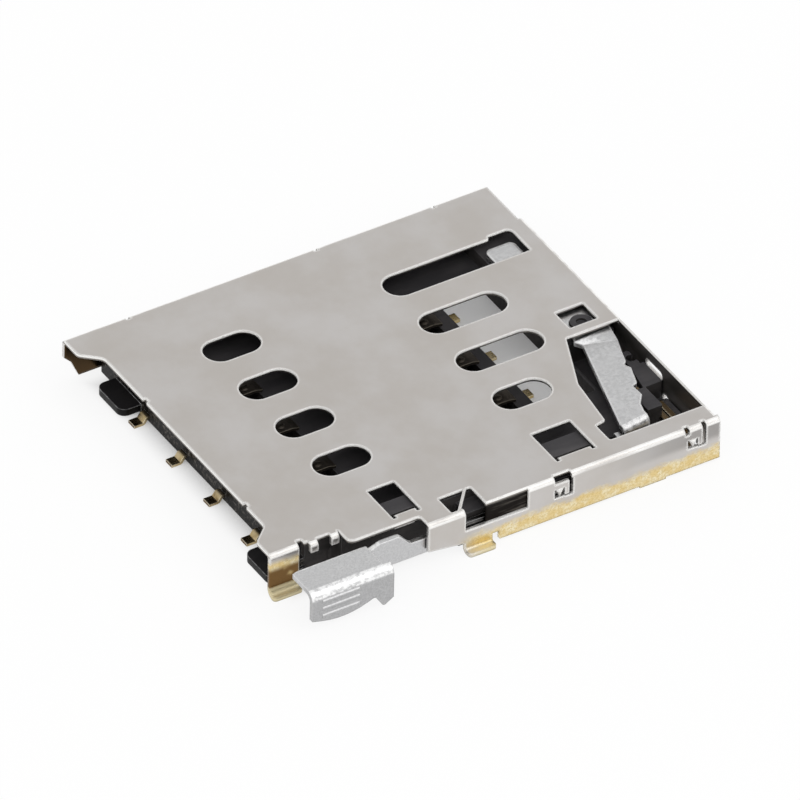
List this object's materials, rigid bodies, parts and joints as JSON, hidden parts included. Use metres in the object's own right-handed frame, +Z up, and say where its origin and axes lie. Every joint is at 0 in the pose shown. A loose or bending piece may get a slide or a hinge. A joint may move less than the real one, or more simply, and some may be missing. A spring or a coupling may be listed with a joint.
{
  "type": "memory card connector",
  "caption": "Low board-mount card socket: moulded contact carrier under a windowed folded sheet shell, with a side push rod and lever that kick the card out.",
  "frame": {"origin": "centre of the shell's footprint, on the seating plane of the carrier and the solder tails", "axes": "+X from the card entry towards the lever end, +Y from the push rod side towards the back wall, +Z up from the board"},
  "size_m": [0.0182, 0.0171, 0.0019],
  "materials": {
    "shell_sheet": "satin nickel-plated sheet, gold-plated feet",
    "carrier_plastic": "matte moulded black",
    "contact_gold": "gold plated",
    "rod_sheet": "satin stainless sheet",
    "lever_sheet": "tumbled stainless sheet"
  },
  "bodies": {
    "base": {"contact_carrier": "carrier_plastic", "shell": "shell_sheet", "contact_c1": "contact_gold", "contact_c2": "contact_gold", "contact_c3": "contact_gold", "contact_c5": "contact_gold", "contact_c6": "contact_gold", "contact_c7": "contact_gold", "first_row_tail": "contact_gold", "detect_blade": "contact_gold", "detect_terminal": "contact_gold"},
    "rod": {"push_rod": "rod_sheet"},
    "lever": {"eject_lever": "lever_sheet"}
  },
  "joints": [
    {"name": "push_rod_slide", "type": "slide", "parent": "base", "child": "rod", "axis": [1, 0, 0], "range_m": [0, 0.0015]},
    {"name": "eject_lever_turn", "type": "hinge", "parent": "base", "child": "lever", "pos_m": [0.0078, -0.00045, 0.0015], "axis": [0, 0, 1], "range_deg": [0, 15]}
  ],
  "couplings": [
    {"joint": "eject_lever_turn", "follows": "push_rod_slide", "rad_per_m": 174.53}
  ]
}
